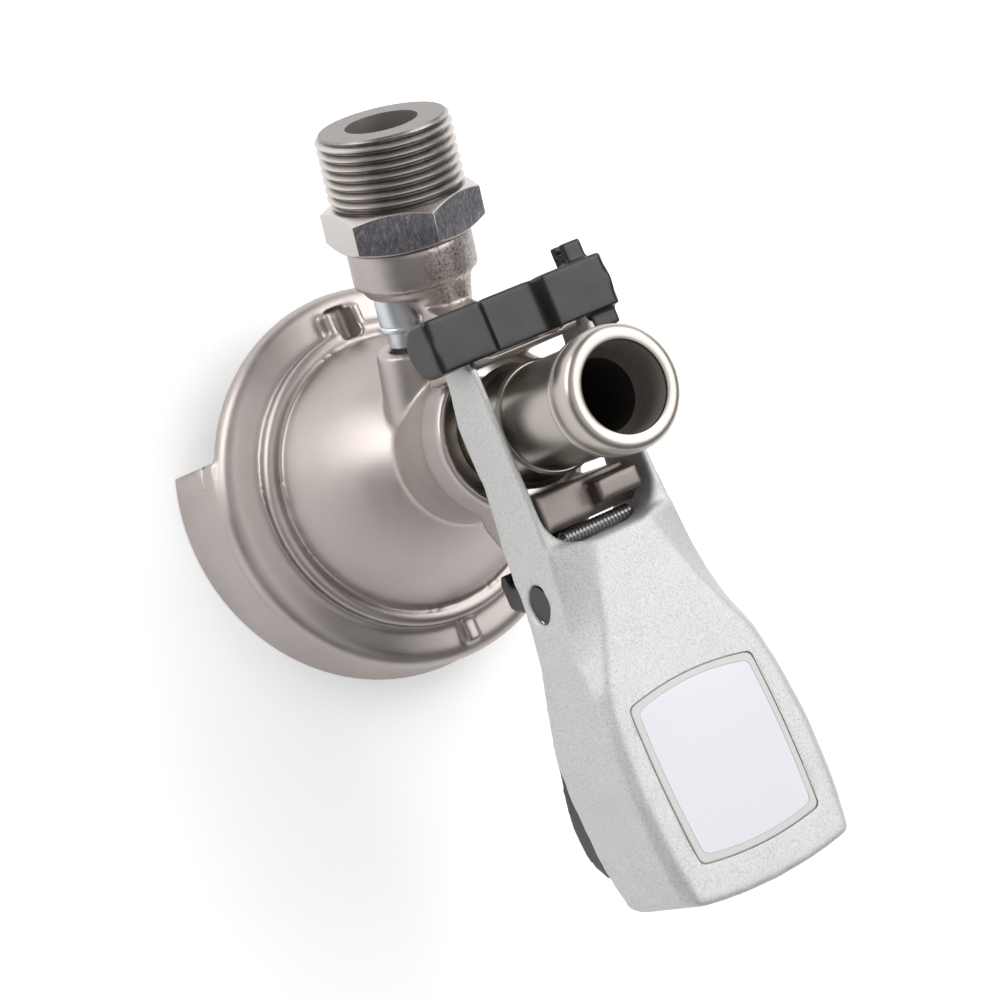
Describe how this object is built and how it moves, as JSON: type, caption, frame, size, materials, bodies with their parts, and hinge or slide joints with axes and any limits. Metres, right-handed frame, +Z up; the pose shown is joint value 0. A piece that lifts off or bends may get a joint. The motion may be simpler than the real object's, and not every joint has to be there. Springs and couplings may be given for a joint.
{
  "type": "keg coupler",
  "caption": "Sliding keg coupler with a lever-driven probe, an angled threaded gas inlet, a relief valve and a trigger-locked lever.",
  "frame": {"origin": "on the probe's axis, level with the bottom of the skirt", "axes": "+Z up along the probe towards the outlet, +X towards the lever's grip, gas inlet and keg channel open towards -X"},
  "size_m": [0.1607, 0.0848, 0.11],
  "materials": {
    "body_nickel": "satin nickel plate on forged brass",
    "seal_rubber": "moulded black rubber",
    "tube_steel": "polished stainless steel",
    "pin_steel": "ground stainless steel",
    "nipple_nickel": "nickel-plated brass, worn golden at the edges",
    "washer_fibre": "dark fibre washer",
    "seat_plastic": "natural acetal",
    "spring_steel": "bright spring wire",
    "relief_chrome": "bright chrome",
    "collar_dark": "dark stainless steel",
    "ball_steel": "polished steel ball",
    "lever_aluminium": "sand-blasted die-cast aluminium",
    "badge_white": "plain white gloss badge",
    "clip_plastic": "black moulded plastic",
    "pin_black": "blackened steel",
    "trigger_plastic": "black moulded plastic, fine grain"
  },
  "bodies": {
    "body": {"coupler_body": "body_nickel", "keg_seal": "seal_rubber", "neck_seal": "seal_rubber", "gland_ring": "tube_steel", "hinge_pins": "pin_steel", "gas_nipple": "nipple_nickel", "nipple_washer": "washer_fibre", "gas_check_seat": "seat_plastic", "gas_check_spring": "spring_steel", "relief_valve_housing": "relief_chrome", "relief_valve_spring": "spring_steel"},
    "gas_ball": {"gas_check_ball": "seal_rubber"},
    "relief_poppet": {"relief_valve_poppet": "relief_chrome", "relief_valve_seal": "seal_rubber"},
    "probe": {"probe_tube": "tube_steel", "probe_collar": "collar_dark", "probe_tip_seal": "seal_rubber", "ball_retainer": "seat_plastic"},
    "product_ball": {"product_check_ball": "ball_steel"},
    "lever": {"handle_casting": "lever_aluminium", "badge_plate": "badge_white", "hinge_clip": "clip_plastic", "drive_pins": "pin_steel", "trigger_pin": "pin_black", "trigger_spring": "spring_steel"},
    "trigger": {"trigger": "trigger_plastic"}
  },
  "joints": [
    {"name": "lever_hinge", "type": "hinge", "parent": "body", "child": "lever", "pos_m": [-0.0194, 0, 0.0797], "axis": [0, -1, 0], "range_deg": [0, 30]},
    {"name": "probe_slide", "type": "slide", "parent": "body", "child": "probe", "axis": [0, 0, 1], "range_m": [0, 0.0101]},
    {"name": "trigger_hinge", "type": "hinge", "parent": "lever", "child": "trigger", "pos_m": [0.0314, 0, 0.0761], "axis": [0, -1, 0], "range_deg": [0, 7], "stiffness_Nm_per_rad": 0.6, "springref_deg": -5.73},
    {"name": "product_ball_lift", "type": "slide", "parent": "probe", "child": "product_ball", "axis": [0, 0, 1], "range_m": [0, 0.004]},
    {"name": "gas_ball_slide", "type": "slide", "parent": "body", "child": "gas_ball", "axis": [0.9367, 0, -0.3502], "range_m": [0, 0.0016], "stiffness_N_per_m": 200, "springref_m": -0.001},
    {"name": "relief_slide", "type": "slide", "parent": "body", "child": "relief_poppet", "axis": [0.9367, 0, -0.3502], "range_m": [0, 0.0012], "stiffness_N_per_m": 1500, "springref_m": -0.001}
  ],
  "couplings": [
    {"joint": "probe_slide", "follows": "lever_hinge", "m_per_rad": 0.01922}
  ]
}
